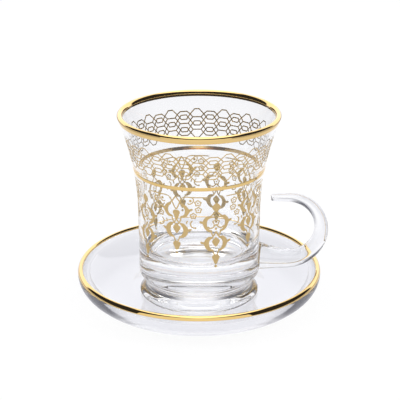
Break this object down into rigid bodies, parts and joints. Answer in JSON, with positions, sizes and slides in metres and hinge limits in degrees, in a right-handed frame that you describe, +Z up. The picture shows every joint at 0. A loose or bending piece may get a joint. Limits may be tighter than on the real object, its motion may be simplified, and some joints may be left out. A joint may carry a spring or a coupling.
{
  "type": "glass tea mug with saucer",
  "caption": "Empty clear glass tea mug with an open hook handle, gilded lip and gold ornament, standing on its gilded glass saucer.",
  "frame": {"origin": "middle of the saucer's flat underside, on the mug's axis", "axes": "+Z up along the mug's axis, +X towards the handle"},
  "size_m": [0.1158, 0.1128, 0.0896],
  "materials": {
    "clear_glass": "fire polished, clear",
    "gold": "bright gilding"
  },
  "bodies": {
    "root": {"mug": "clear_glass", "saucer": "clear_glass", "lip_gilding": "gold", "middle_gilding": "gold", "saucer_gilding": "gold"}
  },
  "joints": []
}
